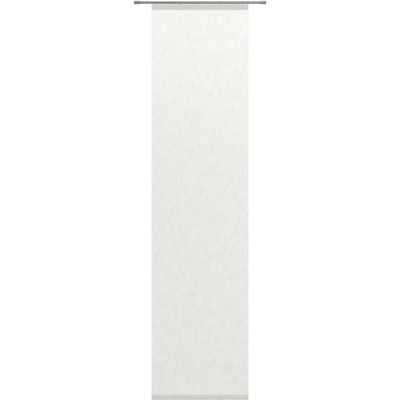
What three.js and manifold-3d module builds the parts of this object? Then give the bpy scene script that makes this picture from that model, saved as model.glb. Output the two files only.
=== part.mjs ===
// A sliding panel curtain: a flat panel of slub voile on a glider carrier, hung from a slotted round pole.
// Millimetres. X runs along the pole, +Y points to the wall and +Z up. The origin lies on the wall,
// midway between the two wall brackets and level with the pole's axis.
import * as THREE from "three";
import { mergeVertices } from "three/addons/utils/BufferGeometryUtils.js";
import Module from "manifold-3d";

const wasm = await Module();
wasm.setup();

// Driving dimensions

// Pole, an aluminium extrusion with a glider chamber below and a clamp groove in its back
const poleSpan = 820; // from end cap to end cap
const poleDiameter = 16;
const poleWall = 1;
const slotWidth = 5; // the open slot along the underside
const ledgeWidth = 1.8; // the runner ledge on each side of the slot
const grooveHeight = 4.8;
const grooveDepth = 1.7;
const webThickness = 0.8; // between the clamp groove and the chamber

// End caps, moulded sleeves with a plug that enters the chamber
const capLength = 40;
const capWall = 1.7;
const capEnd = 8; // solid end beyond the pole
const capRimStep = 0.4;
const capRimLength = 8;
const capRounding = 0.8;
const plugLength = 20;

// Gliders
const gliderCount = 5;
const gliderInset = 38; // outermost glider to the panel's side edge
const headLength = 14;
const headHeight = 2.2;
const neckLength = 5;
const neckWidth = 3.6;
const footLength = 10;
const footHeight = 2.4;

// End stops inside the chamber, each held by a grub screw
const stopLength = 10;
const stopSetback = 2; // end cap's mouth to end stop
const grubDiameter = 3;
const grubSocket = 1.5; // across the flats
const grubSocketDepth = 2;

// Wall brackets, die-cast: a wall plate, an arm with a gusset under it and a tab behind the pole
const bracketSpacing = 460;
const wallDistance = 60; // wall to the pole's axis
const armWidth = 16;
const armThickness = 2.5;
const bendRadius = 1.2;
const plateWidth = 56;
const plateHeight = 14;
const plateThickness = 2.5;
const gussetLength = 14; // along the arm
const gussetHeight = 5;
const gussetThickness = 3;
const wallHoleDiameter = 4.5;
const wallHoleSink = 8.4; // countersink's diameter
const wallHoleSpacing = 40;

// Clamp screw and nut that hold the pole on its bracket
const clampShank = 3;
const clampHead = 5.5;
const clampHeadHeight = 1.9;
const crossWidth = 0.8; // cross recess in the head
const crossSpan = 3;
const crossDepth = 1.1;
const nutLength = 12;
const nutThickness = 1.3;

// Carrier, the extrusion that the gliders hold
const carrierHeight = 35;
const carrierPlate = 1.5;
const carrierWall = 1.2;
const carrierMouth = 4.4;
const carrierCavityWidth = 7.2;
const carrierCavityHeight = 3.2;
const carrierFoot = 4; // stiffening flange along the lower edge
const carrierCapThickness = 2;
const carrierPlugLength = 6;

// Hook tape on the carrier and loop tape on the cloth
const tapeWidth = 30;
const tapeThickness = 1;
const tapeInset = 3; // tape's end to the panel's side edge

// Panel
const panelWidth = 600;
const panelDrop = 2450;
const cloth = 0.5; // thickness
const seamHeight = 1.5; // the stitched double layer over the hem pocket
const pocketTaper = 2.2; // from the weight bar's top to the seam

// Weight bar in the hem pocket, a hollow flat profile with end plugs
const barHeight = 29;
const barThickness = 4.5;
const barWall = 0.8;
const barInset = 2; // plug's face to the panel's side edge
const barPlugPlate = 1.5;
const barPlugLength = 6;

// Slubs, the thick places in the cloth's upright yarns
const slubCount = 280;
const slubNarrowest = 2;
const slubWidest = 4.5;
const slubRise = 0.3; // proud of the cloth on both faces
const slubShortest = 40;
const slubLongest = 240;

// Clearances
const fitGap = 0.15; // screw in its hole or groove
const seatGap = 0.3; // pieces that bear on each other
const runGap = 0.3; // gliders in the chamber
const glueGap = 0.1; // taped and sewn faces
const slideGap = 1.2; // end caps over the carrier's path

// Smoothness of round forms
const facet = 0.9; // length of a facet along an arc
const finestTurn = 7.5; // degrees a facet turns, on large arcs
const coarsestTurn = 22.5; // and on small ones
const turnSteps = 48; // around a revolved cap
const screwSteps = 24; // around screws and holes

// Sizes that follow

const poleRadius = poleDiameter / 2;
const chamberRadius = poleRadius - poleWall;
const slotHalf = slotWidth / 2;
const ledgeEnd = slotHalf + ledgeWidth;
const floorZ = -Math.sqrt(chamberRadius ** 2 - ledgeEnd ** 2); // top of the runner ledges
const headBottom = floorZ + runGap;
const headTop = headBottom + headHeight;
const shelfZ = headTop + runGap; // underside of the groove's wall
const grooveHalf = grooveHeight / 2;
const grooveZ = shelfZ + webThickness + grooveHalf;
const mouthHalf = clampShank / 2 + fitGap;
const lipY = Math.sqrt(chamberRadius ** 2 - (grooveZ + grooveHalf) ** 2);
const grooveFloorY = lipY - grooveDepth;
const webY = grooveFloorY - webThickness;

const poleEnd = poleSpan / 2 - capEnd - seatGap;
const capMouth = poleSpan / 2 - capLength;
const capBore = poleRadius + seatGap;
const capRadius = capBore + capWall;
const rimRadius = capRadius + capRimStep;
const stopOuter = capMouth - stopSetback;
const stopInner = stopOuter - stopLength;

const carrierTop = -(rimRadius + slideGap - capRimStep);
const carrierHalf = carrierCavityWidth / 2 + carrierWall;
const cavityTop = carrierTop - carrierWall;
const cavityBottom = cavityTop - carrierCavityHeight;
const carrierBottom = carrierTop - carrierHeight;
const tapeMiddle = carrierTop - carrierHeight / 2;
const hookFace = -carrierHalf - glueGap;
const loopFace = hookFace - tapeThickness - glueGap;
const clothY = loopFace - tapeThickness - glueGap - cloth / 2;
const panelBottom = carrierTop - panelDrop;

// Small helpers

const v = (a, b) => new THREE.Vector2(a, b);
const degrees = THREE.MathUtils.radToDeg;

// Points of an arc about (a, b), in degrees, as part of an outline.
function arc(a, b, radius, from, to) {
  const turn = THREE.MathUtils.clamp(degrees(facet / radius), finestTurn, coarsestTurn);
  const steps = Math.max(1, Math.round(Math.abs(to - from) / turn));
  return Array.from({ length: steps + 1 }, (_, i) => {
    const angle = THREE.MathUtils.degToRad(from + ((to - from) * i) / steps);
    return v(a + radius * Math.cos(angle), b + radius * Math.sin(angle));
  });
}

// A rectangle about (a, b) with round corners.
function roundedRectangle(a, b, width, height, radius) {
  const x = width / 2 - radius;
  const y = height / 2 - radius;
  return [
    ...arc(a + x, b - y, radius, -90, 0),
    ...arc(a + x, b + y, radius, 0, 90),
    ...arc(a - x, b + y, radius, 90, 180),
    ...arc(a - x, b - y, radius, 180, 270),
  ];
}

function extruded(outline, depth) {
  const shape = Array.isArray(outline) ? new THREE.Shape(outline) : outline;
  return new THREE.ExtrudeGeometry(shape, { depth, bevelEnabled: false });
}

// A section drawn in (y, z), extruded along X.
const sectionToX = new THREE.Matrix4().makeBasis(
  new THREE.Vector3(0, 1, 0),
  new THREE.Vector3(0, 0, 1),
  new THREE.Vector3(1, 0, 0),
);
function alongX(section, from, to) {
  return extruded(section, to - from).translate(0, 0, from).applyMatrix4(sectionToX);
}

// A front outline drawn in (x, z), extruded along Y.
function alongY(front, from, to) {
  return extruded(front, to - from).rotateX(Math.PI / 2).translate(0, to, 0);
}

// A plan drawn in (x, y), extruded along Z.
function alongZ(plan, from, to) {
  return extruded(plan, to - from).translate(0, 0, from);
}

// A closed geometry as a solid that can be joined and cut.
function solid(geometry) {
  const bare = geometry.index ? geometry.toNonIndexed() : geometry.clone();
  bare.deleteAttribute("normal");
  bare.deleteAttribute("uv");
  const merged = mergeVertices(bare, 1e-4);
  return new wasm.Manifold(
    new wasm.Mesh({
      numProp: 3,
      vertProperties: merged.getAttribute("position").array,
      triVerts: new Uint32Array(merged.index.array),
    }),
  );
}

// A solid as a flat-shaded geometry.
function geometryOf(body) {
  const mesh = body.getMesh();
  const geometry = new THREE.BufferGeometry();
  geometry.setAttribute("position", new THREE.BufferAttribute(mesh.vertProperties, 3));
  geometry.setIndex(new THREE.BufferAttribute(mesh.triVerts, 1));
  const flat = geometry.toNonIndexed();
  flat.computeVertexNormals();
  return flat;
}

// Materials

function material(color, roughness, metalness) {
  return new THREE.MeshStandardMaterial({ color, roughness, metalness });
}
const brushedMetal = material(0x8a8a86, 0.35, 1);
const capMetal = material(0x7f7f7c, 0.3, 1);
const anodised = material(0xb4b5b0, 0.45, 1);
const brightAluminium = material(0xe6e7e4, 0.36, 1);
const zincCast = material(0xc4c5c3, 0.4, 1);
const darkSteel = material(0x5c5d5e, 0.4, 1);
const gliderPlastic = material(0xe9e9e4, 0.45, 0);
const greyPlastic = material(0xb9bab5, 0.5, 0);
const hookNylon = material(0x646460, 0.8, 0);
const loopNylon = material(0x646460, 0.9, 0);
const voile = material(0xeeefe9, 0.9, 0);

function piece(name, geometry, finish) {
  const mesh = new THREE.Mesh(geometry, finish);
  mesh.name = name;
  return mesh;
}

const sides = [
  ["left", -1],
  ["right", 1],
];

// Pole section: a round skin, open below at the glider slot and behind at the clamp groove.
function poleSection() {
  const slotAngle = degrees(Math.asin(slotHalf / poleRadius));
  const mouthLow = grooveZ - mouthHalf;
  const mouthHigh = grooveZ + mouthHalf;
  const mouthAngle = (z) => degrees(Math.asin(z / poleRadius));
  const ledgeAngle = degrees(Math.acos(ledgeEnd / chamberRadius));
  return [
    ...arc(0, 0, poleRadius, slotAngle - 90, mouthAngle(mouthLow)),
    v(lipY, mouthLow),
    v(lipY, grooveZ - grooveHalf),
    v(grooveFloorY, grooveZ - grooveHalf),
    v(grooveFloorY, grooveZ + grooveHalf),
    v(lipY, grooveZ + grooveHalf),
    v(lipY, mouthHigh),
    ...arc(0, 0, poleRadius, mouthAngle(mouthHigh), 270 - slotAngle),
    v(-slotHalf, floorZ),
    ...arc(0, 0, chamberRadius, 180 + ledgeAngle, degrees(Math.acos(webY / chamberRadius))),
    v(webY, shelfZ),
    ...arc(0, 0, chamberRadius, degrees(Math.asin(shelfZ / chamberRadius)), -ledgeAngle),
    v(slotHalf, floorZ),
  ];
}

// What fills the pole's chamber with the given gap all round, for the plugs and stops.
function chamberSection(gap) {
  const radius = chamberRadius - gap;
  const floorAngle = degrees(Math.asin((floorZ + gap) / radius));
  const shelfAngle = degrees(Math.asin((shelfZ - gap) / radius));
  const webAngle = degrees(Math.acos((webY - gap) / radius));
  return [
    ...arc(0, 0, radius, floorAngle, shelfAngle),
    v(webY - gap, shelfZ - gap),
    ...arc(0, 0, radius, webAngle, 180 - floorAngle),
  ];
}

function pole() {
  return piece("pole", alongX(poleSection(), -poleEnd, poleEnd), brushedMetal);
}

// End cap: a turned sleeve over the pole's end, with a plug inside that fills the chamber.
function endCap(name, side) {
  const boreDepth = capLength - capEnd;
  const rimStart = capLength - capRimLength;
  const sleeve = new THREE.LatheGeometry(
    [
      v(0, boreDepth),
      v(capBore, boreDepth),
      v(capBore, 0),
      v(capRadius - capRimStep, 0),
      v(capRadius, capRimStep),
      v(capRadius, rimStart - capRimStep),
      v(rimRadius, rimStart),
      ...arc(rimRadius - capRounding, capLength - capRounding, capRounding, 0, 90),
      v(0, capLength),
    ],
    turnSteps,
  );
  sleeve.rotateZ((-side * Math.PI) / 2).translate(side * capMouth, 0, 0);
  const plugEnds = [side * (capMouth + boreDepth - plugLength), side * (poleSpan / 2 - capEnd / 2)];
  const plug = alongX(chamberSection(seatGap), Math.min(...plugEnds), Math.max(...plugEnds));
  return piece(name, geometryOf(solid(sleeve).add(solid(plug))), capMetal);
}

// A grub screw that points up, with a hexagon socket in its lower end.
function grubScrew(name, x, bottom, top) {
  const radius = grubDiameter / 2;
  const chamfer = radius / 5;
  const shank = new THREE.LatheGeometry(
    [
      v(0, bottom),
      v(radius - chamfer, bottom),
      v(radius, bottom + chamfer),
      v(radius, top - chamfer),
      v(radius - chamfer, top),
      v(0, top),
    ],
    screwSteps,
  ).rotateX(Math.PI / 2);
  const socketRadius = grubSocket / Math.sqrt(3);
  const socket = new THREE.CylinderGeometry(socketRadius, socketRadius, 2 * grubSocketDepth, 6)
    .rotateX(Math.PI / 2)
    .translate(0, 0, bottom);
  return piece(name, geometryOf(solid(shank).subtract(solid(socket))).translate(x, 0, 0), darkSteel);
}

// End stop: a block that fills the chamber. Its grub screw bears on the chamber's roof and so presses
// the block onto the ledges.
function endStop(name, side) {
  const middle = (side * (stopInner + stopOuter)) / 2;
  const block = alongX(chamberSection(runGap), middle - stopLength / 2, middle + stopLength / 2);
  const hole = new THREE.CylinderGeometry(
    grubDiameter / 2 + fitGap,
    grubDiameter / 2 + fitGap,
    4 * poleRadius,
    screwSteps,
  )
    .rotateX(Math.PI / 2)
    .translate(middle, 0, 0);
  return piece(name, geometryOf(solid(block).subtract(solid(hole))), greyPlastic);
}

function stopScrew(name, side) {
  const middle = (side * (stopInner + stopOuter)) / 2;
  return grubScrew(name, middle, floorZ + 2 * runGap, chamberRadius - seatGap);
}

// Height of the underside of a bracket's arm: just clear of the clamp screw's head and the bend
const armBottom = grooveZ + clampHead / 2 + seatGap + bendRadius;
const armTop = armBottom + armThickness;
const armMiddle = armBottom + armThickness / 2;
const tabFront = poleRadius + seatGap - wallDistance;
const tabBack = tabFront + armThickness;
const tabBottom = grooveZ - clampHead / 2 - armThickness;

// Wall bracket: a wall plate with two countersunk holes, an arm over the clamp screw and a tab behind the pole.
function bracket(name, side) {
  const bend = bendRadius + armThickness;
  const arm = alongX(
    [
      v(-plateThickness / 2, armTop),
      ...arc(tabFront + bend, armTop - bend, bend, 90, 180),
      v(tabFront, tabBottom),
      v(tabBack, tabBottom),
      ...arc(tabFront + bend, armTop - bend, bendRadius, 180, 90),
      v(-plateThickness / 2, armBottom),
    ],
    -armWidth / 2,
    armWidth / 2,
  );
  const plate = alongY(
    roundedRectangle(0, armMiddle, plateWidth, plateHeight, plateHeight / 2.01),
    -plateThickness,
    0,
  );
  const gusset = alongX(
    [
      v(-plateThickness / 2, armMiddle),
      v(-plateThickness - gussetLength, armMiddle),
      v(-plateThickness - gussetLength, armBottom),
      v(-plateThickness, armBottom - gussetHeight),
      v(-plateThickness / 2, armBottom - gussetHeight),
    ],
    -gussetThickness / 2,
    gussetThickness / 2,
  );
  const holes = [-wallHoleSpacing / 2, wallHoleSpacing / 2].flatMap((x) => {
    const sink = (wallHoleSink - wallHoleDiameter) / 2;
    const radius = wallHoleDiameter / 2;
    return [
      new THREE.CylinderGeometry(radius, radius, 4 * plateThickness, screwSteps).translate(
        x,
        0,
        armMiddle,
      ),
      new THREE.CylinderGeometry(radius, radius + 2 * sink, 2 * sink, screwSteps).translate(
        x,
        -plateThickness,
        armMiddle,
      ),
    ];
  });
  const clampRadius = clampShank / 2 + fitGap;
  const clampHole = new THREE.CylinderGeometry(clampRadius, clampRadius, 4 * armThickness, screwSteps);
  clampHole.translate(0, (tabFront + tabBack) / 2, grooveZ);
  const cut = [...holes, clampHole].reduce(
    (body, hole) => body.subtract(solid(hole)),
    solid(plate).add(solid(arm)).add(solid(gusset)),
  );
  return piece(name, geometryOf(cut).translate((side * bracketSpacing) / 2, 0, 0), zincCast);
}

// Nut plate in the pole's clamp groove
function clampNut(name, side) {
  const middle = lipY - seatGap / 2 - nutThickness / 2 - wallDistance;
  const plate = new THREE.BoxGeometry(nutLength, nutThickness, grooveHeight - 2 * fitGap);
  plate.translate(0, middle, grooveZ);
  const radius = clampShank / 2 + fitGap;
  const hole = new THREE.CylinderGeometry(radius, radius, 4 * nutThickness, screwSteps);
  hole.translate(0, middle, grooveZ);
  const nut = solid(plate).subtract(solid(hole));
  return piece(name, geometryOf(nut).translate((side * bracketSpacing) / 2, 0, 0), darkSteel);
}

// Pan-head screw from behind the bracket's tab into the nut plate
function clampScrew(name, side) {
  const tip = grooveFloorY + fitGap - wallDistance;
  const under = tabBack + fitGap;
  const top = under + clampHeadHeight;
  const radius = clampShank / 2;
  const edge = clampHead / 2;
  const body = new THREE.LatheGeometry(
    [
      v(0, tip),
      v(radius * 0.8, tip),
      v(radius, tip + radius * 0.4),
      v(radius, under),
      v(edge, under),
      ...arc(edge - clampHeadHeight * 0.6, top - clampHeadHeight * 0.6, clampHeadHeight * 0.6, 0, 90),
      v(0, top),
    ],
    screwSteps,
  );
  const cross = [0, Math.PI / 2].map((turn) =>
    new THREE.BoxGeometry(crossSpan, 2 * crossDepth, crossWidth).rotateY(turn).translate(0, top, 0),
  );
  const screw = cross.reduce((made, bar) => made.subtract(solid(bar)), solid(body));
  const placed = geometryOf(screw).translate((side * bracketSpacing) / 2, 0, grooveZ);
  return piece(name, placed, darkSteel);
}

// Glider: a head on the pole's ledges, a neck through its slot and a foot in the carrier's channel.
function glider(name, x) {
  const headWidth = 2 * (ledgeEnd - runGap);
  const footTop = cavityTop - seatGap;
  const footBottom = footTop - footHeight;
  const footWidth = carrierCavityWidth - 2 * seatGap;
  const head = alongZ(roundedRectangle(0, 0, headLength, headWidth, headWidth / 2.01), headBottom, headTop);
  const neck = alongZ(roundedRectangle(0, 0, neckLength, neckWidth, neckWidth / 4), footBottom, headTop);
  const foot = alongZ(roundedRectangle(0, 0, footLength, footWidth, footWidth / 4), footBottom, footTop);
  const made = solid(head).add(solid(neck)).add(solid(foot));
  return piece(name, geometryOf(made).translate(x, 0, 0), gliderPlastic);
}

// Carrier section: a C-channel for the gliders' feet over a flat plate with a flange at its lower edge.
// The end caps have the same outline with the channel filled.
function carrierSection(filled) {
  const mouth = carrierMouth / 2;
  const inside = carrierHalf - carrierWall;
  const channelBottom = cavityBottom - carrierWall;
  const channel = filled
    ? []
    : [
        v(mouth, carrierTop),
        v(mouth, cavityTop),
        v(inside, cavityTop),
        v(inside, cavityBottom),
        v(-inside, cavityBottom),
        v(-inside, cavityTop),
        v(-mouth, cavityTop),
        v(-mouth, carrierTop),
      ];
  return [
    v(-carrierHalf, carrierBottom),
    v(carrierFoot - carrierHalf, carrierBottom),
    v(carrierFoot - carrierHalf, carrierBottom + carrierWall),
    v(carrierPlate - carrierHalf, carrierBottom + carrierWall),
    v(carrierPlate - carrierHalf, channelBottom),
    v(carrierHalf, channelBottom),
    v(carrierHalf, carrierTop),
    ...channel,
    v(-carrierHalf, carrierTop),
  ];
}

function carrier() {
  const end = panelWidth / 2 - carrierCapThickness;
  return piece("carrier_profile", alongX(carrierSection(false), -end, end), anodised);
}

function carrierCap(name, side) {
  const end = panelWidth / 2;
  const face = end - carrierCapThickness;
  const plate = alongX(carrierSection(true), face + glueGap, end);
  const plugSection = roundedRectangle(
    0,
    (cavityTop + cavityBottom) / 2,
    carrierCavityWidth - 2 * fitGap,
    carrierCavityHeight - 2 * fitGap,
    carrierWall / 2,
  );
  const plug = alongX(plugSection, face - carrierPlugLength, end - carrierCapThickness / 2);
  const made = geometryOf(solid(plate).add(solid(plug)));
  return piece(name, side < 0 ? mirroredInX(made) : made, greyPlastic);
}

// The same form seen in a mirror across X = 0, with its faces still pointing out.
function mirroredInX(geometry) {
  const mirrored = geometry.clone().scale(-1, 1, 1);
  const position = mirrored.getAttribute("position");
  const corner = new THREE.Vector3();
  const other = new THREE.Vector3();
  for (let i = 0; i < position.count; i += 3) {
    corner.fromBufferAttribute(position, i + 1);
    other.fromBufferAttribute(position, i + 2);
    position.setXYZ(i + 1, other.x, other.y, other.z);
    position.setXYZ(i + 2, corner.x, corner.y, corner.z);
  }
  mirrored.computeVertexNormals();
  return mirrored;
}

function tape(name, face, finish) {
  const strip = new THREE.BoxGeometry(panelWidth - 2 * tapeInset, tapeThickness, tapeWidth);
  return piece(name, strip.translate(0, face - tapeThickness / 2, tapeMiddle), finish);
}

// Levels in the hem pocket, from the panel's lower edge up
const pocketHalf = barThickness / 2 + seatGap + cloth;
const barBottom = panelBottom + cloth + seatGap;
const barTop = barBottom + barHeight;
const taperStart = barTop - barThickness / 4;
const seamBottom = barTop + pocketTaper;
const seamTop = seamBottom + seamHeight;

// The panel's section: one sheet of cloth from its top edge down, then turned up behind itself round the
// weight bar and stitched down as the hem pocket.
function panelSection() {
  const inside = pocketHalf - cloth;
  const bend = panelBottom + pocketHalf;
  const shape = new THREE.Shape([
    ...arc(clothY, bend, pocketHalf, 180, 360),
    v(clothY + pocketHalf, taperStart),
    v(clothY + cloth, seamBottom),
    v(clothY + cloth, seamTop),
    v(clothY + cloth / 2, seamTop),
    v(clothY + cloth / 2, carrierTop),
    v(clothY - cloth / 2, carrierTop),
    v(clothY - cloth / 2, seamTop),
    v(clothY - cloth, seamTop),
    v(clothY - cloth, seamBottom),
    v(clothY - pocketHalf, taperStart),
  ]);
  shape.holes.push(
    new THREE.Path([
      ...arc(clothY, bend, inside, 180, 360),
      v(clothY + inside, taperStart),
      v(clothY, seamBottom - cloth),
      v(clothY - inside, taperStart),
    ]),
  );
  return shape;
}

// Slub yarns: spindles of uneven length, scattered evenly over the cloth by a two-step rotation.
function slubs() {
  const top = carrierBottom - seamHeight;
  const bottom = seamTop + seamHeight;
  const share = (i, step) => (i * step + 0.5) % 1;
  return Array.from({ length: slubCount }, (_, i) => {
    const length = THREE.MathUtils.lerp(slubShortest, slubLongest, share(i, 0.6823278) ** 2);
    const width = THREE.MathUtils.lerp(slubNarrowest, slubWidest, share(i, 0.4142136));
    const x = (share(i, 0.7548777) - 0.5) * (panelWidth - 2 * slubWidest);
    const z = bottom + length / 2 + (top - bottom - length) * share(i, 0.569840291);
    return new THREE.OctahedronGeometry(1)
      .scale(width / 2, cloth / 2 + slubRise, length / 2)
      .translate(x, clothY, z);
  });
}

// The panel: its cloth and the slubs woven into it.
function fabricPanel() {
  const sheet = alongX(panelSection(), -panelWidth / 2, panelWidth / 2);
  const made = slubs().reduce((body, slub) => body.add(solid(slub)), solid(sheet));
  return piece("fabric_panel", geometryOf(made), voile);
}

function barSection(inset) {
  const middle = (barBottom + barTop) / 2;
  const thickness = barThickness - 2 * inset;
  return roundedRectangle(clothY, middle, thickness, barHeight - 2 * inset, thickness / 2.01);
}

function weightBar() {
  const shape = new THREE.Shape(barSection(0));
  shape.holes.push(new THREE.Path(barSection(barWall)));
  const end = panelWidth / 2 - barInset - barPlugPlate - glueGap;
  return piece("weight_bar", alongX(shape, -end, end), brightAluminium);
}

function barPlug(name, side) {
  const end = panelWidth / 2 - barInset;
  const plate = alongX(barSection(0), end - barPlugPlate, end);
  const plug = alongX(
    barSection(barWall + fitGap),
    end - barPlugPlate - barPlugLength,
    end - barPlugPlate / 2,
  );
  const made = geometryOf(solid(plate).add(solid(plug)));
  return piece(name, side < 0 ? mirroredInX(made) : made, greyPlastic);
}

// Assembly. What is drawn about the pole's axis goes into a group that stands off the wall.

const curtain = new THREE.Group();
curtain.name = "sliding_panel_curtain";

const onPole = new THREE.Group();
onPole.position.y = -wallDistance;
curtain.add(onPole);

onPole.add(pole());
for (const [word, side] of sides) {
  onPole.add(endCap(`end_cap_${word}`, side));
  onPole.add(endStop(`end_stop_${word}`, side));
  onPole.add(stopScrew(`stop_screw_${word}`, side));
  curtain.add(bracket(`bracket_${word}`, side));
  curtain.add(clampNut(`clamp_nut_${word}`, side));
  curtain.add(clampScrew(`clamp_screw_${word}`, side));
}

const panel = new THREE.Group();
onPole.add(panel);

const outermost = panelWidth / 2 - gliderInset;
for (let i = 0; i < gliderCount; i++) {
  panel.add(glider(`glider_${i + 1}`, outermost * ((2 * i) / (gliderCount - 1) - 1)));
}
panel.add(carrier());
panel.add(tape("hook_tape", hookFace, hookNylon));
panel.add(tape("loop_tape", loopFace, loopNylon));
panel.add(fabricPanel());
panel.add(weightBar());
for (const [word, side] of sides) {
  panel.add(carrierCap(`carrier_cap_${word}`, side));
  panel.add(barPlug(`bar_plug_${word}`, side));
}

export default curtain;
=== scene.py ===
"""A sliding panel curtain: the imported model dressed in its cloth, metals and mouldings."""

from math import cos, pi, radians, sin, sqrt  # noqa: E402

import bmesh  # noqa: E402
import bpy  # noqa: E402
from mathutils import Matrix, Vector, noise  # noqa: E402


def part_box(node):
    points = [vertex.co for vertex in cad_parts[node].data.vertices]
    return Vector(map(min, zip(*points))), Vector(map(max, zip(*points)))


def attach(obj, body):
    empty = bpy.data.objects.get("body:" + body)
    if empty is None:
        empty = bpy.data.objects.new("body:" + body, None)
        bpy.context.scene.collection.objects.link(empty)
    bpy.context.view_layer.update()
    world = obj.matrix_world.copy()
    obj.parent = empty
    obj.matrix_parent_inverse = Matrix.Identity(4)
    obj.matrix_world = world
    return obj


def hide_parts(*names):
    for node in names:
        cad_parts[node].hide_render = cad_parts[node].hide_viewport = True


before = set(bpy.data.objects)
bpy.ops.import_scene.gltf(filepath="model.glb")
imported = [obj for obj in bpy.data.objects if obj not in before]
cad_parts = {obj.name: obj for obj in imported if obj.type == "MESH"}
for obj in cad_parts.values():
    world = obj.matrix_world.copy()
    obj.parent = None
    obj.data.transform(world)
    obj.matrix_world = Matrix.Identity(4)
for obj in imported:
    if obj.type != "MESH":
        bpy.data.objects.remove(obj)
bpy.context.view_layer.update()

MM = 0.001

# The cloth, as cut and as hung
CLOTH_LOW, CLOTH_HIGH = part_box("fabric_panel")
PANEL_LEFT, PANEL_WIDTH = CLOTH_LOW.x, CLOTH_HIGH.x - CLOTH_LOW.x
PANEL_TOP, PANEL_BOTTOM = CLOTH_HIGH.z, CLOTH_LOW.z
CLOTH_Y = (CLOTH_LOW.y + CLOTH_HIGH.y) / 2
CLOTH_HALF = 0.25 * MM  # half the solid cloth's thickness
POCKET_HALF = (CLOTH_HIGH.y - CLOTH_LOW.y) / 2 - CLOTH_HALF
BAR_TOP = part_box("weight_bar")[1].z
POCKET_EASE = 1.2 * MM  # how far under the bar's top the pocket begins to close
SEAM_BOTTOM = BAR_TOP + 2.2 * MM
SEAM_HEIGHT = 1.2 * MM
HEM_ALLOWANCE = 0.6 * MM
HEM_BEHIND = 0.32 * MM  # from the hanging cloth to the hem's end behind it

# Faces across the cloth, down its hanging length, down each stretch of its pocket, round its bend
COLUMNS, HANGING_ROWS, POCKET_ROWS, BEND_ROWS = 200, 196, 8, 12

# The cloth's own relief: depth, repeats to a metre across and along, and layer of the noise
RIDGES = (0.11 * MM, 190, 11, 3.7)
WAVES = (0.25 * MM, 6, 1.3, 9.1)
POCKET_RELIEF = 0.4  # share of it where the cloth is stretched round the bar

# The seam's gathers
PUCKER_DEPTH, PUCKER_REACH, PUCKERS_PER_METRE = 0.16 * MM, 16 * MM, 85

# Slub yarns, scattered as in the solid
SLUB_COUNT = 280
SLUB_WIDTHS = (1.6 * MM, 3.8 * MM)
SLUB_LENGTHS = (40 * MM, 240 * MM)
SLUB_HALF_THICKNESS = 0.5 * MM
SLUB_MARGIN = 6 * MM
SLUB_TAPER = 0.8  # how much finer its tips are than an ellipse's
SLUB_BEND = 0.35  # how far it bends aside, to its width
# Steps that spread their lengths, their widths, and their places across and along
LENGTH_STEP, WIDTH_STEP = 0.6823278, 0.4142136
ACROSS_STEP, ALONG_STEP = 0.7548777, 0.569840291

STITCH_PITCH = 3.0 * MM
STITCH_LENGTH = 2.3 * MM
STITCH_INSET = 3.0 * MM  # from a row's ends to the panel's side edges
TAPE_STITCH_INSET = 2.5 * MM  # from the tape's edges to its rows
THREAD_RADIUS = 0.17 * MM
STITCH_DIP = 1.3 * THREAD_RADIUS  # how deep its ends go into the cloth
STITCH_FRONT, STITCH_BACK = -0.3 * MM, 0.62 * MM  # from the cloth's plane to the rows on it

POLE_Z = sum(c.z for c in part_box("end_cap_left")) / 2
FLOOR_DROP = 120 * MM
FLOOR_RADIUS = 1.3


# Wiring of shader nodes


class Bench:
    """Adds nodes to one shader tree and wires them."""

    def __init__(self, tree):
        self.tree = tree

    def feed(self, socket, value):
        if isinstance(value, bpy.types.NodeSocket):
            self.tree.links.new(value, socket)
        else:
            socket.default_value = value

    def add(self, kind, inputs=None, **settings):
        node = self.tree.nodes.new(kind)
        for key, value in settings.items():
            setattr(node, key, value)
        for key, value in (inputs or {}).items():
            self.feed(node.inputs[key], value)
        return node

    def math(self, operation, a, b=0.0, clamp=False):
        node = self.add("ShaderNodeMath", {0: a, 1: b}, operation=operation, use_clamp=clamp)
        return node.outputs[0]

    def between(self, a, b, factor):
        """A value from a to b as factor goes from 0 to 1."""
        node = self.add("ShaderNodeMix", {0: factor, 2: a, 3: b}, data_type="FLOAT")
        return node.outputs[0]

    def tint(self, a, b, factor):
        """A colour from a to b as factor goes from 0 to 1."""
        node = self.add("ShaderNodeMix", {0: factor, 6: a, 7: b}, data_type="RGBA")
        return node.outputs[2]

    def spread(self, value, low, high, to_low=0.0, to_high=1.0):
        """value from low to high, stretched to the new ends and clamped there."""
        inputs = {0: value, 1: low, 2: high, 3: to_low, 4: to_high}
        return self.add("ShaderNodeMapRange", inputs, clamp=True).outputs[0]

    def evened(self, noise):
        """Noise, which keeps near its middle, drawn out to 0 to 1."""
        return self.spread(noise, 0.25, 0.75)

    def scaled(self, vector, by):
        node = self.add("ShaderNodeVectorMath", {0: vector, 1: by}, operation="MULTIPLY")
        return node.outputs[0]

    def noise(self, vector, scale=1.0, detail=2.0, roughness=0.5):
        inputs = {"Vector": vector, "Scale": scale, "Detail": detail, "Roughness": roughness}
        return self.add("ShaderNodeTexNoise", inputs).outputs["Fac"]


def shader_group(name, inputs, outputs):
    """An empty node group and its two ends. Each input is (label, kind, value)."""
    tree = bpy.data.node_groups.new(name, "ShaderNodeTree")
    for label, kind, value in inputs:
        tree.interface.new_socket(label, in_out="INPUT", socket_type=kind).default_value = value
    for label in outputs:
        tree.interface.new_socket(label, in_out="OUTPUT", socket_type="NodeSocketFloat")
    bench = Bench(tree)
    return bench, bench.add("NodeGroupInput").outputs, bench.add("NodeGroupOutput").inputs


FLOAT, VECTOR = "NodeSocketFloat", "NodeSocketVector"

# Marks that pieces carry on their meshes for their materials
EASED = "eased_edge"
YARN_DEPTH = "yarn_depth"


def drawn_grain_group():
    """Fine lines drawn along a metal, as extruding and brushing leave them."""
    bench, given, out = shader_group(
        "Drawn Grain",
        [
            ("Vector", VECTOR, (0, 0, 0)),
            ("Stretch", VECTOR, (6, 900, 900)),
            ("Unevenness", FLOAT, 0.5),
        ],
        ["Tone", "Height"],
    )
    run = bench.scaled(given["Vector"], given["Stretch"])
    fine = bench.noise(run, 1.0, 4.0, 0.6)
    broad = bench.noise(run, 0.16, 2.0, 0.5)
    tone = bench.between(fine, broad, given["Unevenness"])
    bench.feed(out["Tone"], bench.evened(tone))
    bench.feed(out["Height"], fine)
    return bench.tree


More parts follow.
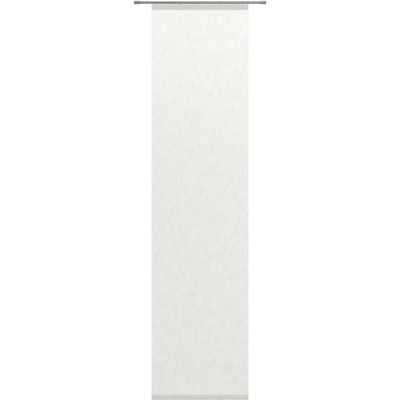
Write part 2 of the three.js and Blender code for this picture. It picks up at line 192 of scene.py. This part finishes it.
def handling_group():
    """Faint cloudy marks that hands and cleaning leave."""
    bench, given, out = shader_group(
        "Handling Marks",
        [("Vector", VECTOR, (0, 0, 0)), ("Size", FLOAT, 30.0), ("Strength", FLOAT, 0.5)],
        ["Mask"],
    )
    clouds = bench.noise(given["Vector"], given["Size"], 3.0, 0.55)
    streaks = bench.noise(bench.scaled(given["Vector"], (60, 220, 220)), 1.0, 2.0, 0.5)
    both = bench.math("MULTIPLY", bench.spread(clouds, 0.45, 0.7), bench.spread(streaks, 0.3, 0.7))
    bench.feed(out["Mask"], bench.math("MULTIPLY", both, given["Strength"], clamp=True))
    return bench.tree


def edge_wear_group():
    """Where an eased edge has been rubbed bright, broken up by a fine noise."""
    bench, given, out = shader_group(
        "Edge Wear", [("Vector", VECTOR, (0, 0, 0)), ("Amount", FLOAT, 0.5)], ["Mask"]
    )
    eased = bench.add("ShaderNodeAttribute", attribute_name=EASED).outputs["Fac"]
    breaks = bench.spread(bench.noise(given["Vector"], 420.0, 3.0, 0.6), 0.35, 0.65)
    worn = bench.math("MULTIPLY", eased, breaks)
    bench.feed(out["Mask"], bench.math("MULTIPLY", worn, given["Amount"], clamp=True))
    return bench.tree


def settled_dust_group():
    """A thin film of dust on faces that look up."""
    bench, given, out = shader_group(
        "Settled Dust", [("Vector", VECTOR, (0, 0, 0)), ("Amount", FLOAT, 0.4)], ["Mask"]
    )
    normal = bench.add("ShaderNodeNewGeometry").outputs["Normal"]
    up = bench.add("ShaderNodeSeparateXYZ", {0: normal}).outputs["Z"]
    lie = bench.spread(up, 0.35, 0.95)
    patches = bench.spread(bench.noise(given["Vector"], 70.0, 4.0, 0.6), 0.3, 0.75, 0.4, 1.0)
    film = bench.math("MULTIPLY", lie, patches)
    bench.feed(out["Mask"], bench.math("MULTIPLY", film, given["Amount"], clamp=True))
    return bench.tree


def uneven_yarn_group():
    """Yarns that run thick and thin. Upright goes from 0 to 1 with the warp's yarns, Level with
    the weft's and Cloud with the slow change of both. Vector is the place on the cloth, in metres.
    """
    bench, given, out = shader_group(
        "Uneven Yarns",
        [
            ("Vector", VECTOR, (0, 0, 0)),
            ("Fine Stretch", VECTOR, (230, 14, 1)),
            ("Broad Stretch", VECTOR, (135, 17, 1)),
            ("Weft Stretch", VECTOR, (16, 190, 1)),
            ("Cloud Stretch", VECTOR, (14, 14, 1)),
            ("Broad Share", FLOAT, 0.6),
        ],
        ["Upright", "Level", "Cloud"],
    )
    place = given["Vector"]
    fine = bench.noise(bench.scaled(place, given["Fine Stretch"]), 1.0, 1.0, 0.5)
    broad = bench.noise(bench.scaled(place, given["Broad Stretch"]), 1.0, 1.0, 0.5)
    level = bench.noise(bench.scaled(place, given["Weft Stretch"]), 1.0, 1.0, 0.5)
    cloud = bench.noise(bench.scaled(place, given["Cloud Stretch"]), 1.0, 2.0, 0.5)
    upright = bench.between(fine, broad, given["Broad Share"])
    bench.feed(out["Upright"], bench.evened(upright))
    bench.feed(out["Level"], bench.evened(level))
    bench.feed(out["Cloud"], bench.evened(cloud))
    return bench.tree


def weave_group():
    """A plain weave. Vector is the place on the cloth, in metres: X across, Y along."""
    bench, given, out = shader_group(
        "Plain Weave",
        [
            ("Vector", VECTOR, (0, 0, 0)),
            ("Ends per Metre", FLOAT, 1200.0),
            ("Picks per Metre", FLOAT, 1100.0),
            ("Wander", FLOAT, 0.5),
            ("Slub Stretch", VECTOR, (420, 16, 1)),
            ("Weft Slub Stretch", VECTOR, (22, 700, 1)),
        ],
        ["Cover", "Height", "Slub", "Weft Slub"],
    )
    place = given["Vector"]
    drift = bench.noise(bench.scaled(place, (90, 25, 1)), 1.0, 2.0, 0.5)
    wander = bench.math("MULTIPLY", bench.math("SUBTRACT", drift, 0.5), given["Wander"])
    part = bench.add("ShaderNodeSeparateXYZ", {0: place}).outputs
    end = bench.math("ADD", bench.math("MULTIPLY", part["X"], given["Ends per Metre"]), wander)
    pick = bench.math("ADD", bench.math("MULTIPLY", part["Y"], given["Picks per Metre"]), wander)
    end_wave = bench.math("SINE", bench.math("MULTIPLY", end, pi))
    pick_wave = bench.math("SINE", bench.math("MULTIPLY", pick, pi))
    warp = bench.math("SQRT", bench.math("ABSOLUTE", end_wave))
    weft = bench.math("SQRT", bench.math("ABSOLUTE", pick_wave))
    crossing = bench.spread(bench.math("MULTIPLY", end_wave, pick_wave), -0.4, 0.4)
    body = bench.between(warp, weft, crossing)
    cover = bench.math("MAXIMUM", warp, weft)
    slub = bench.noise(bench.scaled(place, given["Slub Stretch"]), 1.0, 2.0, 0.55)
    slub = bench.spread(slub, 0.54, 0.72)
    weft_slub = bench.noise(bench.scaled(place, given["Weft Slub Stretch"]), 1.0, 2.0, 0.55)
    weft_slub = bench.spread(weft_slub, 0.6, 0.76)
    raised = bench.math("ADD", body, bench.math("MULTIPLY", slub, 1.2))
    bench.feed(out["Cover"], cover)
    bench.feed(out["Height"], bench.math("ADD", raised, bench.math("MULTIPLY", weft_slub, 0.8)))
    bench.feed(out["Slub"], slub)
    bench.feed(out["Weft Slub"], weft_slub)
    return bench.tree


def moulded_skin_group():
    """The faint orange-peel and flow marks of moulded plastic."""
    bench, given, out = shader_group(
        "Moulded Skin",
        [("Vector", VECTOR, (0, 0, 0)), ("Grain", FLOAT, 1800.0)],
        ["Tone", "Height"],
    )
    peel = bench.noise(given["Vector"], given["Grain"], 2.0, 0.5)
    flow = bench.noise(bench.scaled(given["Vector"], (120, 300, 60)), 1.0, 3.0, 0.5)
    bench.feed(out["Tone"], flow)
    bench.feed(out["Height"], peel)
    return bench.tree


GRAIN = drawn_grain_group()
HANDLING = handling_group()
WEAR = edge_wear_group()
DUST = settled_dust_group()
WEAVE = weave_group()
YARNS = uneven_yarn_group()
SKIN = moulded_skin_group()


# Materials


def grey(red, green, blue):
    """A colour as seen on a screen, 0 to 255, in the renderer's own measure."""
    parts = [c / 255 for c in (red, green, blue)]
    return (*[c / 12.92 if c <= 0.04045 else ((c + 0.055) / 1.055) ** 2.4 for c in parts], 1.0)


def shade(colour, by):
    """The colour made lighter or darker by a factor."""
    return (*[min(1.0, c * by) for c in colour[:3]], 1.0)


class Finish:
    """One material on a Principled shader, with its coordinates and groups at hand."""

    def __init__(self, name, uv=False, **constants):
        self.material = bpy.data.materials.new(name)
        self.material.use_nodes = True
        self.bench = Bench(self.material.node_tree)
        self.shader = self.material.node_tree.nodes["Principled BSDF"]
        for label, value in constants.items():
            self.shader.inputs[label.replace("_", " ")].default_value = value
        if uv:
            self.place = self.bench.add("ShaderNodeUVMap", uv_map="Cloth").outputs["UV"]
        else:
            self.place = self.bench.add("ShaderNodeTexCoord").outputs["Object"]

    def group(self, tree, **values):
        node = self.bench.add("ShaderNodeGroup", node_tree=tree)
        self.bench.feed(node.inputs["Vector"], self.place)
        for label, value in values.items():
            self.bench.feed(node.inputs[label.replace("_", " ")], value)
        return node.outputs

    def set(self, label, value):
        self.bench.feed(self.shader.inputs[label], value)

    def bump(self, height, distance, strength=1.0):
        inputs = {"Height": height, "Distance": distance, "Strength": strength}
        self.set("Normal", self.bench.add("ShaderNodeBump", inputs).outputs["Normal"])


def metal(name, dark, light, roughness, stretch, grain_depth, dust=0.25, wear=0.4, marked=0.6):
    """A metal with grain along it, handling marks, rubbed edges and a little dust."""
    finish = Finish(name, Metallic=1.0)
    bench = finish.bench
    grain = finish.group(GRAIN, Stretch=stretch, Unevenness=0.4)
    marks = finish.group(HANDLING, Strength=marked)["Mask"]
    rubbed = finish.group(WEAR, Amount=wear)["Mask"]
    film = finish.group(DUST, Amount=dust)["Mask"]
    colour = bench.tint(dark, light, grain["Tone"])
    colour = bench.tint(colour, shade(light, 1.5), rubbed)
    finish.set("Base Color", bench.tint(colour, grey(176, 174, 168), film))
    rough = bench.between(roughness * 0.86, roughness * 1.14, grain["Tone"])
    rough = bench.math("ADD", rough, bench.math("MULTIPLY", marks, 0.12))
    finish.set("Roughness", bench.between(rough, 0.8, film))
    finish.set("Metallic", bench.between(1.0, 0.35, film))
    finish.bump(grain["Height"], grain_depth, 0.5)
    return finish.material


def plastic(name, colour, roughness, dust=0.2):
    """A moulding with a faint skin, marks and dust."""
    finish = Finish(name, IOR=1.47)
    bench = finish.bench
    skin = finish.group(SKIN)
    film = finish.group(DUST, Amount=dust)["Mask"]
    marks = finish.group(HANDLING, Size=90.0, Strength=0.8)["Mask"]
    tone = bench.tint(shade(colour, 0.93), colour, skin["Tone"])
    finish.set("Base Color", bench.tint(tone, grey(186, 184, 178), film))
    finish.set("Roughness", bench.math("ADD", bench.math("MULTIPLY", marks, 0.18), roughness))
    finish.bump(skin["Height"], 0.02 * MM, 0.6)
    return finish.material


# Share of light that one layer of the cloth stops, least in the weave's gaps and most on its yarns
CLOTH_COVER = 0.667
GAP_COVER, YARN_COVER = CLOTH_COVER - 0.14, CLOTH_COVER + 0.045
SLUB_COVER, WEFT_SLUB_COVER = 0.08, 0.05
# How much the yarns' thick and thin places change the cloth's cover
STREAK_DEPTH, WEFT_DEPTH, CLOUD_DEPTH = 0.043, 0.012, 0.012
# The fused side edges: where they begin, where they are full, and what they add to the cover
EDGE_BEGINS, EDGE_FULL, EDGE_COVER = 1.4 * MM, 0.9 * MM, 0.2


def voile():
    """Sheer off-white cloth in a plain weave of yarns that run thick and thin."""
    finish = Finish("voile", uv=True, Sheen_Weight=0.15, Sheen_Roughness=0.4, IOR=1.35)
    bench = finish.bench
    weave = finish.group(WEAVE)
    yarns = finish.group(YARNS)
    place = bench.add("ShaderNodeSeparateXYZ", {0: finish.place}).outputs
    streaks = bench.between(-STREAK_DEPTH, STREAK_DEPTH, yarns["Upright"])
    streaks = bench.math("ADD", streaks, bench.between(-WEFT_DEPTH, WEFT_DEPTH, yarns["Level"]))
    streaks = bench.math("ADD", streaks, bench.between(-CLOUD_DEPTH, CLOUD_DEPTH, yarns["Cloud"]))
    tone = bench.math("ADD", bench.math("MULTIPLY", streaks, -2.0), 0.925, clamp=True)
    finish.set("Base Color", bench.tint((0, 0, 0, 1), grey(249, 249.5, 244.3), tone))
    finish.set("Roughness", bench.between(0.82, 0.95, yarns["Cloud"]))
    cover = bench.between(GAP_COVER, YARN_COVER, weave["Cover"])
    thick = bench.math("MULTIPLY", weave["Slub"], SLUB_COVER)
    across = bench.math("MULTIPLY", weave["Weft Slub"], WEFT_SLUB_COVER)
    half_width = PANEL_WIDTH / 2
    from_middle = bench.math("ABSOLUTE", bench.math("SUBTRACT", place["X"], half_width))
    fused = bench.spread(
        from_middle, half_width - EDGE_BEGINS, half_width - EDGE_FULL, 0.0, EDGE_COVER
    )
    alpha = bench.math("ADD", bench.math("ADD", cover, thick), bench.math("ADD", across, fused))
    alpha = bench.math("ADD", alpha, streaks)
    finish.set("Alpha", bench.math("MINIMUM", alpha, 0.97))
    finish.bump(weave["Height"], 0.12 * MM, 0.5)
    return finish.material


def slub_yarn():
    """The loosely spun thick places: denser than the ground, with fibres running along them."""
    finish = Finish("slub_yarn", Sheen_Weight=0.15, Sheen_Roughness=0.4, IOR=1.35)
    bench = finish.bench
    fibres = bench.noise(bench.scaled(finish.place, (5200, 5200, 180)), 1.0, 3.0, 0.6)
    tone = bench.spread(fibres, 0.3, 0.7)
    depth = bench.add("ShaderNodeAttribute", attribute_name=YARN_DEPTH).outputs["Fac"]
    finish.set("Base Color", bench.tint(grey(236, 236, 231), grey(246, 246, 242), tone))
    finish.set("Roughness", bench.between(0.8, 0.95, tone))
    finish.set("Alpha", bench.math("MULTIPLY", depth, bench.between(0.12, 0.27, tone)))
    finish.bump(fibres, 0.1 * MM, 0.6)
    return finish.material


def thread():
    """Sewing thread with its twist."""
    finish = Finish("sewing_thread", Sheen_Weight=0.1, IOR=1.45)
    bench = finish.bench
    twist = (0, radians(35), 0)
    turned = bench.add("ShaderNodeMapping", {"Vector": finish.place, "Rotation": twist})
    wave = bench.add(
        "ShaderNodeTexWave",
        {"Vector": turned.outputs["Vector"], "Scale": 900.0, "Distortion": 0.6, "Detail": 1.0},
        wave_type="BANDS",
    ).outputs["Fac"]
    finish.set("Base Color", bench.tint(grey(222, 222, 216), grey(246, 246, 242), wave))
    finish.set("Roughness", bench.between(0.45, 0.65, wave))
    finish.bump(wave, 0.05 * MM, 0.7)
    return finish.material


def tape_ground(name, colour):
    """The woven ground of a hook or loop tape."""
    finish = Finish(name, Sheen_Weight=0.1, IOR=1.5)
    bench = finish.bench
    upright = (radians(-90), 0, 0)
    turned = bench.add("ShaderNodeMapping", {"Vector": finish.place, "Rotation": upright})
    weave = bench.add("ShaderNodeGroup", node_tree=WEAVE)
    bench.feed(weave.inputs["Vector"], turned.outputs["Vector"])
    bench.feed(weave.inputs["Ends per Metre"], 1600.0)
    bench.feed(weave.inputs["Picks per Metre"], 1900.0)
    finish.set("Base Color", bench.tint(shade(colour, 0.8), colour, weave.outputs["Cover"]))
    finish.set("Roughness", bench.between(0.7, 0.9, weave.outputs["Cover"]))
    finish.bump(weave.outputs["Height"], 0.1 * MM, 0.6)
    return finish.material


# How the grain is stretched: noise to a metre along each axis
ALONG_X = (9, 1500, 1500)
ROUND_CAP = (1400, 30, 30)
POLE_METAL = metal(
    "brushed_pole",
    grey(120, 120, 119),
    grey(130, 130, 128),
    roughness=0.32,
    stretch=ALONG_X,
    grain_depth=0.02 * MM,
    dust=0.1,
    marked=0.3,
)
CAP_METAL = metal(
    "turned_cap",
    grey(115, 115, 114),
    grey(130, 130, 128),
    roughness=0.32,
    stretch=ROUND_CAP,
    grain_depth=0.02 * MM,
    dust=0.4,
)
CARRIER_METAL = metal(
    "anodised_carrier",
    grey(176, 177, 172),
    grey(194, 195, 190),
    roughness=0.48,
    stretch=ALONG_X,
    grain_depth=0.014 * MM,
)
ZINC = metal(
    "cast_zinc",
    grey(186, 188, 188),
    grey(206, 207, 205),
    roughness=0.44,
    stretch=(520, 520, 520),
    grain_depth=0.03 * MM,
    wear=0.7,
)
SCREW_STEEL = metal(
    "dark_screws",
    grey(84, 85, 87),
    grey(112, 113, 114),
    roughness=0.34,
    stretch=(400, 400, 400),
    grain_depth=0.01 * MM,
    wear=0.9,
)
WHITE_MOULDING = plastic("white_moulding", grey(236, 236, 230), 0.38)
GREY_MOULDING = plastic("grey_moulding", grey(186, 187, 181), 0.46)
BAR_METAL = metal(
    "bright_bar",
    grey(247, 248, 246),
    grey(252, 252, 249),
    roughness=0.3,
    stretch=ALONG_X,
    grain_depth=0.006 * MM,
    dust=0.0,
    wear=0.1,
    marked=0.1,
)
VOILE = voile()
SLUB_YARN = slub_yarn()
THREAD = thread()
TAPE_GREY = grey(100, 100, 93)
HOOK_GROUND = tape_ground("hook_ground", TAPE_GREY)
LOOP_GROUND = tape_ground("loop_ground", TAPE_GREY)


# Making of pieces


def in_scene(name, data):
    """A new object in the scene, at the origin."""
    made = bpy.data.objects.new(name, data)
    bpy.context.scene.collection.objects.link(made)
    return made


def placed(name, bm, material, slot, body, *stands_for):
    """The bmesh as a finished piece that rides on its body."""
    mesh = bpy.data.meshes.new(name)
    for face in bm.faces:
        face.smooth = True
    bm.to_mesh(mesh)
    bm.free()
    mesh.materials.append(material)
    piece = in_scene(name, mesh)
    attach(piece, body)
    if stands_for:
        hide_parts(*stands_for)
    return piece


def dressed(node, material, slot, body, ease=0.25 * MM, corner=32):
    """The node's own form with eased edges and smooth rounds."""
    bm = bmesh.new()
    bm.from_mesh(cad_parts[node].data)
    bmesh.ops.remove_doubles(bm, verts=bm.verts, dist=1e-6)
    bmesh.ops.dissolve_limit(bm, angle_limit=radians(1), verts=bm.verts, edges=bm.edges)
    corners = [e for e in bm.edges if e.calc_face_angle(0) > radians(corner)]
    eased = bm.faces.layers.float.new(EASED)
    made = bmesh.ops.bevel(
        bm,
        geom=corners,
        offset=ease,
        offset_type="OFFSET",
        segments=2,
        profile=0.5,
        affect="EDGES",
        clamp_overlap=True,
        material=-1,
    )
    for face in made["faces"]:
        face[eased] = 1.0
    piece = placed(f"{node}_made", bm, material, slot, body, node)
    shading = piece.modifiers.new("Even Shading", "WEIGHTED_NORMAL")
    shading.keep_sharp = True
    return piece


def share(i, step):
    """An evenly spread number from 0 to 1 for the slub yarn i."""
    return (i * step + 0.5) % 1


def smooth_step(t):
    """0 up to t = 0, 1 from t = 1, and an even turn between."""
    t = min(1, max(0, t))
    return t * t * (3 - 2 * t)


def steps(a, b, count):
    """Even steps that begin after a and end at b."""
    return [a + (b - a) * k / count for k in range(1, count + 1)]


def cloth_run():
    """The cloth in section, from top edge to hem's end, as (offset from its plane, height)."""
    seam_top = SEAM_BOTTOM + SEAM_HEIGHT
    slope_bottom = BAR_TOP - POCKET_EASE
    bend_z = PANEL_BOTTOM + POCKET_HALF + CLOTH_HALF

    def opening(z):
        """How far the pocket has opened at this height, from 0 to 1."""
        return smooth_step((SEAM_BOTTOM - z) / (SEAM_BOTTOM - slope_bottom))

    run = [(0.0, z) for z in [PANEL_TOP, *steps(PANEL_TOP, seam_top, HANGING_ROWS)]]
    for z in steps(seam_top, slope_bottom, POCKET_ROWS):
        run.append((-POCKET_HALF * opening(z), z))
    for z in steps(slope_bottom, bend_z, POCKET_ROWS):
        run.append((-POCKET_HALF, z))
    for turn in steps(0, pi, BEND_ROWS):
        run.append((-POCKET_HALF * cos(turn), bend_z - POCKET_HALF * sin(turn)))
    for z in steps(bend_z, slope_bottom, POCKET_ROWS):
        run.append((POCKET_HALF, z))
    for z in steps(slope_bottom, seam_top, POCKET_ROWS):
        run.append((HEM_BEHIND + (POCKET_HALF - HEM_BEHIND) * opening(z), z))
    run.append((HEM_BEHIND, seam_top + HEM_ALLOWANCE / 2))
    run.append((HEM_BEHIND, seam_top + HEM_ALLOWANCE))
    return run


def relief(x, z):
    """How far the cloth's uneven yarns lift it from its plane."""
    lift = 0.0
    for depth, across, along, layer in (RIDGES, WAVES):
        lift += depth * noise.noise(Vector((x * across, z * along, layer)))
    return lift


def pucker(x, z):
    """The seam's small gathers, at their most on the stitches."""
    near = max(0, 1 - abs(z - SEAM_BOTTOM - SEAM_HEIGHT / 2) / PUCKER_REACH)
    return PUCKER_DEPTH * near * near * noise.noise(Vector((x * PUCKERS_PER_METRE, 1.5, 4.2)))


def cloth_panel():
    """One length of cloth: hanging flat, round the weight bar and up to the seam behind."""
    run = cloth_run()
    rows = len(run) - 1
    bm = bmesh.new()
    bmesh.ops.create_grid(bm, x_segments=COLUMNS, y_segments=rows, size=0.5)
    lengths = [0.0]
    for a, b in zip(run, run[1:]):
        lengths.append(lengths[-1] + sqrt((a[0] - b[0]) ** 2 + (a[1] - b[1]) ** 2))
    lay = bm.loops.layers.uv.new("Cloth")
    spot = {}
    for vert in bm.verts:
        across = vert.co.x + 0.5
        k = round((0.5 - vert.co.y) * rows)
        offset, z = run[k]
        x = PANEL_LEFT + across * PANEL_WIDTH
        lift = relief(x, z) if offset == 0 else relief(x, z) * POCKET_RELIEF
        vert.co = Vector((x, CLOTH_Y + offset + lift + pucker(x, z), z))
        spot[vert] = (across * PANEL_WIDTH, lengths[k])
    for face in bm.faces:
        for loop in face.loops:
            loop[lay].uv = spot[loop.vert]
    if bm.faces[:][0].normal.y > 0:
        bmesh.ops.reverse_faces(bm, faces=bm.faces)
    piece = placed("cloth_panel", bm, VOILE, "voile", "panel", "fabric_panel")
    return piece, lengths[-1]


def slub_yarns():
    """Spindles of thick yarn in the cloth, scattered as in the solid, thin at their tips."""
    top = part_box("carrier_profile")[0].z - SEAM_HEIGHT
    bottom = SEAM_BOTTOM + 2 * SEAM_HEIGHT
    first = bmesh.new()
    bmesh.ops.create_uvsphere(first, u_segments=8, v_segments=8, radius=1.0)
    # The sphere's faces come in either of two orders, so they are put in one that stays
    first.faces.sort(key=lambda face: Vector((1, 10, 100)).dot(face.calc_center_median()))
    form = bpy.data.meshes.new("slub_form")
    first.to_mesh(form)
    first.free()
    bm = bmesh.new()
    depth = bm.verts.layers.float.new(YARN_DEPTH)
    for i in range(SLUB_COUNT):
        length = SLUB_LENGTHS[0] + (SLUB_LENGTHS[1] - SLUB_LENGTHS[0]) * share(i, LENGTH_STEP) ** 2
        width = SLUB_WIDTHS[0] + (SLUB_WIDTHS[1] - SLUB_WIDTHS[0]) * share(i, WIDTH_STEP)
        x = (share(i, ACROSS_STEP) - 0.5) * (PANEL_WIDTH - 2 * SLUB_MARGIN)
        z = bottom + length / 2 + (top - bottom - length) * share(i, ALONG_STEP)
        before = len(bm.verts)
        bm.from_mesh(form)
        bm.verts.ensure_lookup_table()
        for vert in bm.verts[before:]:
            across, through, along = vert.co
            thin = sqrt(max(0.0, 1 - along * along)) ** SLUB_TAPER
            bend = SLUB_BEND * width * noise.noise(Vector((i * 1.7, along * 1.4, 0.5)))
            vert[depth] = abs(through)
            vert.co = Vector(
                (
                    x + across * thin * width / 2 + bend,
                    CLOTH_Y + through * thin * SLUB_HALF_THICKNESS,
                    z + along * length / 2,
                )
            )
    bpy.data.meshes.remove(form)
    return placed("slub_yarns", bm, SLUB_YARN, "voile", "panel")


def stitch_row(name, z, y):
    """A row of lockstitches along the panel, each a short thread whose ends dip into the cloth."""
    bm = bmesh.new()
    tall = Matrix.Rotation(pi / 2, 4, "Y")
    bmesh.ops.create_cone(
        bm,
        cap_ends=True,
        segments=6,
        radius1=THREAD_RADIUS,
        radius2=THREAD_RADIUS,
        depth=STITCH_LENGTH,
        matrix=tall,
    )
    everything = bm.verts[:] + bm.edges[:] + bm.faces[:]
    bmesh.ops.bisect_plane(bm, geom=everything, plane_co=(0, 0, 0), plane_no=(1, 0, 0))
    inward = 1 if y > CLOTH_Y else -1
    for vert in bm.verts:
        ended = abs(vert.co.x) / (STITCH_LENGTH / 2)
        vert.co.y -= inward * STITCH_DIP * ended
    count = int((PANEL_WIDTH - 2 * STITCH_INSET) / STITCH_PITCH)
    start = -STITCH_PITCH * (count - 1) / 2
    bmesh.ops.translate(bm, verts=bm.verts, vec=(start, y, z))
    piece = placed(name, bm, THREAD, "voile", "panel")
    row = piece.modifiers.new("Row", "ARRAY")
    row.use_relative_offset = False
    row.use_constant_offset = True
    row.constant_offset_displace = (STITCH_PITCH, 0, 0)
    row.count = count
    return piece


def seen_directly(bench):
    """1 for rays that show the stage itself, to the camera or by way of metal or a clear gap."""
    path = bench.add("ShaderNodeLightPath").outputs
    seen = bench.math("MAXIMUM", path["Is Camera Ray"], path["Is Glossy Ray"])
    return bench.math("MAXIMUM", seen, path["Is Transmission Ray"])


# The floor's share of the walls' white at its middle, and the radii between which it rises to 1
MIDDLE_GLOW, FADE_REACH = 0.6, (0.45, 1.2)


def floor_disc():
    """The pale floor under the panel."""
    bm = bmesh.new()
    bmesh.ops.create_circle(bm, cap_ends=True, segments=96, radius=FLOOR_RADIUS)
    bmesh.ops.translate(bm, verts=bm.verts, vec=(0, CLOTH_Y, PANEL_BOTTOM - FLOOR_DROP))
    mesh = bpy.data.meshes.new("floor")
    bm.to_mesh(mesh)
    bm.free()
    mesh.materials.append(floor_paint())
    floor = in_scene("floor", mesh)


def floor_paint():
    """Matte white, seen nearly as bright as the walls, shadow and all. It fades into them towards
    its rim and doesn't show from below."""
    finish = Finish("floor_paint", Roughness=0.9)
    bench = finish.bench
    clouds = bench.noise(finish.place, 3.0, 2.0, 0.5)
    finish.set("Base Color", bench.tint(grey(236, 236, 236), grey(242, 242, 242), clouds))
    glow = bench.add("ShaderNodeEmission", {"Color": (1, 1, 1, 1), "Strength": 1.0})
    seen = seen_directly(bench)
    level = bench.scaled(finish.place, (1, 1, 0))
    from_middle = bench.add("ShaderNodeVectorMath", {0: level}, operation="LENGTH")
    fade = bench.spread(from_middle.outputs["Value"], *FADE_REACH, MIDDLE_GLOW, 1.0)
    share_of_glow = bench.math("MULTIPLY", seen, fade)
    both = bench.add(
        "ShaderNodeMixShader", {0: share_of_glow, 1: finish.shader.outputs[0], 2: glow.outputs[0]}
    )
    behind = bench.add("ShaderNodeNewGeometry").outputs["Backfacing"]
    clear = bench.add("ShaderNodeBsdfTransparent")
    shown = bench.add(
        "ShaderNodeMixShader",
        {0: bench.math("MULTIPLY", behind, seen), 1: both.outputs[0], 2: clear.outputs[0]},
    )
    output = finish.material.node_tree.nodes["Material Output"]
    bench.feed(output.inputs["Surface"], shown.outputs[0])
    return finish.material


# The pieces

for side in ("left", "right"):
    dressed(f"end_cap_{side}", CAP_METAL, "cap_metal", "track", ease=0.2 * MM)
    dressed(f"bracket_{side}", ZINC, "bracket_zinc", "track", ease=0.3 * MM)
    dressed(f"clamp_screw_{side}", SCREW_STEEL, "screw_steel", "track", ease=0.08 * MM)
    dressed(f"carrier_cap_{side}", GREY_MOULDING, "grey_plastic", "panel", ease=0.2 * MM)
    for node, material in (
        (f"end_stop_{side}", GREY_MOULDING),
        (f"stop_screw_{side}", SCREW_STEEL),
        (f"clamp_nut_{side}", SCREW_STEEL),
        (f"bar_plug_{side}", GREY_MOULDING),
    ):
        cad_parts[node].data.materials.clear()
        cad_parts[node].data.materials.append(material)
dressed("pole", POLE_METAL, "pole_metal", "track", ease=0.15 * MM)
dressed("carrier_profile", CARRIER_METAL, "carrier_metal", "panel", ease=0.15 * MM)
dressed("weight_bar", BAR_METAL, "bar_metal", "panel", ease=0.1 * MM)
dressed("hook_tape", HOOK_GROUND, "hook_nylon", "panel", ease=0.15 * MM)
dressed("loop_tape", LOOP_GROUND, "loop_nylon", "panel", ease=0.15 * MM)
for number in range(1, 6):
    dressed(f"glider_{number}", WHITE_MOULDING, "glider_plastic", "panel", ease=0.2 * MM)

cloth, cloth_length = cloth_panel()
slubs = slub_yarns()
tape_low, tape_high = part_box("loop_tape")
front, back = CLOTH_Y + STITCH_FRONT, CLOTH_Y + STITCH_BACK
hem_row = SEAM_BOTTOM + SEAM_HEIGHT / 2
stitching = [
    stitch_row("tape_stitches_upper", tape_high.z - TAPE_STITCH_INSET, front),
    stitch_row("tape_stitches_lower", tape_low.z + TAPE_STITCH_INSET, front),
    stitch_row("hem_stitches_front", hem_row, front),
    stitch_row("hem_stitches_back", hem_row, back),
]

floor_disc()


# Light and camera

AMBIENT = 0.77  # how strongly the white walls light the part


def softbox(name, place, aim, width, height, power):
    """A soft lamp, given in metres and watts, that lights the part and isn't seen."""
    lamp = bpy.data.lights.new(name, "AREA")
    lamp.shape = "RECTANGLE"
    lamp.size, lamp.size_y, lamp.energy = width, height, power
    holder = in_scene(name, lamp)
    holder.location = place
    holder.rotation_euler = (Vector(aim) - Vector(place)).to_track_quat("-Z", "Y").to_euler()
    holder.visible_camera = False


def surround():
    """Even white studio walls: seen at full white, and lighting the part somewhat less."""
    world = bpy.data.worlds.new("studio")
    bpy.context.scene.world = world
    world.use_nodes = True
    bench = Bench(world.node_tree)
    world.node_tree.nodes.clear()
    seen = seen_directly(bench)
    dim = bench.add("ShaderNodeBackground", {"Color": (1, 1, 1, 1), "Strength": AMBIENT})
    full = bench.add("ShaderNodeBackground", {"Color": (1, 1, 1, 1), "Strength": 1.0})
    both = bench.add("ShaderNodeMixShader", {0: seen, 1: dim.outputs[0], 2: full.outputs[0]})
    output = bench.add("ShaderNodeOutputWorld")
    bench.feed(output.inputs["Surface"], both.outputs[0])


surround()
softbox("key", (0.25, CLOTH_Y - 0.85, -0.04), (0.05, CLOTH_Y, -0.52), 0.6, 0.5, 1.55)
softbox("left_fill", (-0.7, CLOTH_Y - 0.35, -0.15), (0.0, CLOTH_Y, -0.15), 0.3, 0.5, 0.55)
softbox("right_fill", (0.75, CLOTH_Y - 0.3, -1.1), (0.0, CLOTH_Y, -1.1), 0.35, 2.2, 0.9)
softbox("top", (0.16, CLOTH_Y - 0.01, 0.4), (0.16, CLOTH_Y, 0.0), 1.05, 0.12, 1.3)

# What the picture holds from its lower to its upper edge, its middle from the pole's axis, and
# how far off the camera stands
FRAME_HEIGHT = 2475.7 * MM
FRAME_MIDDLE = -1222.85 * MM
CAMERA_DISTANCE = 14.0
SENSOR = 36
camera = in_scene("camera", bpy.data.cameras.new("camera"))
camera.data.sensor_width = SENSOR
camera.data.lens = SENSOR * CAMERA_DISTANCE / FRAME_HEIGHT
camera.data.clip_end = 100
camera.location = (0, CLOTH_Y - CAMERA_DISTANCE, POLE_Z + FRAME_MIDDLE)
camera.rotation_euler = (pi / 2, 0, 0)
bpy.context.scene.camera = camera
bpy.context.scene.view_settings.view_transform = "Standard"
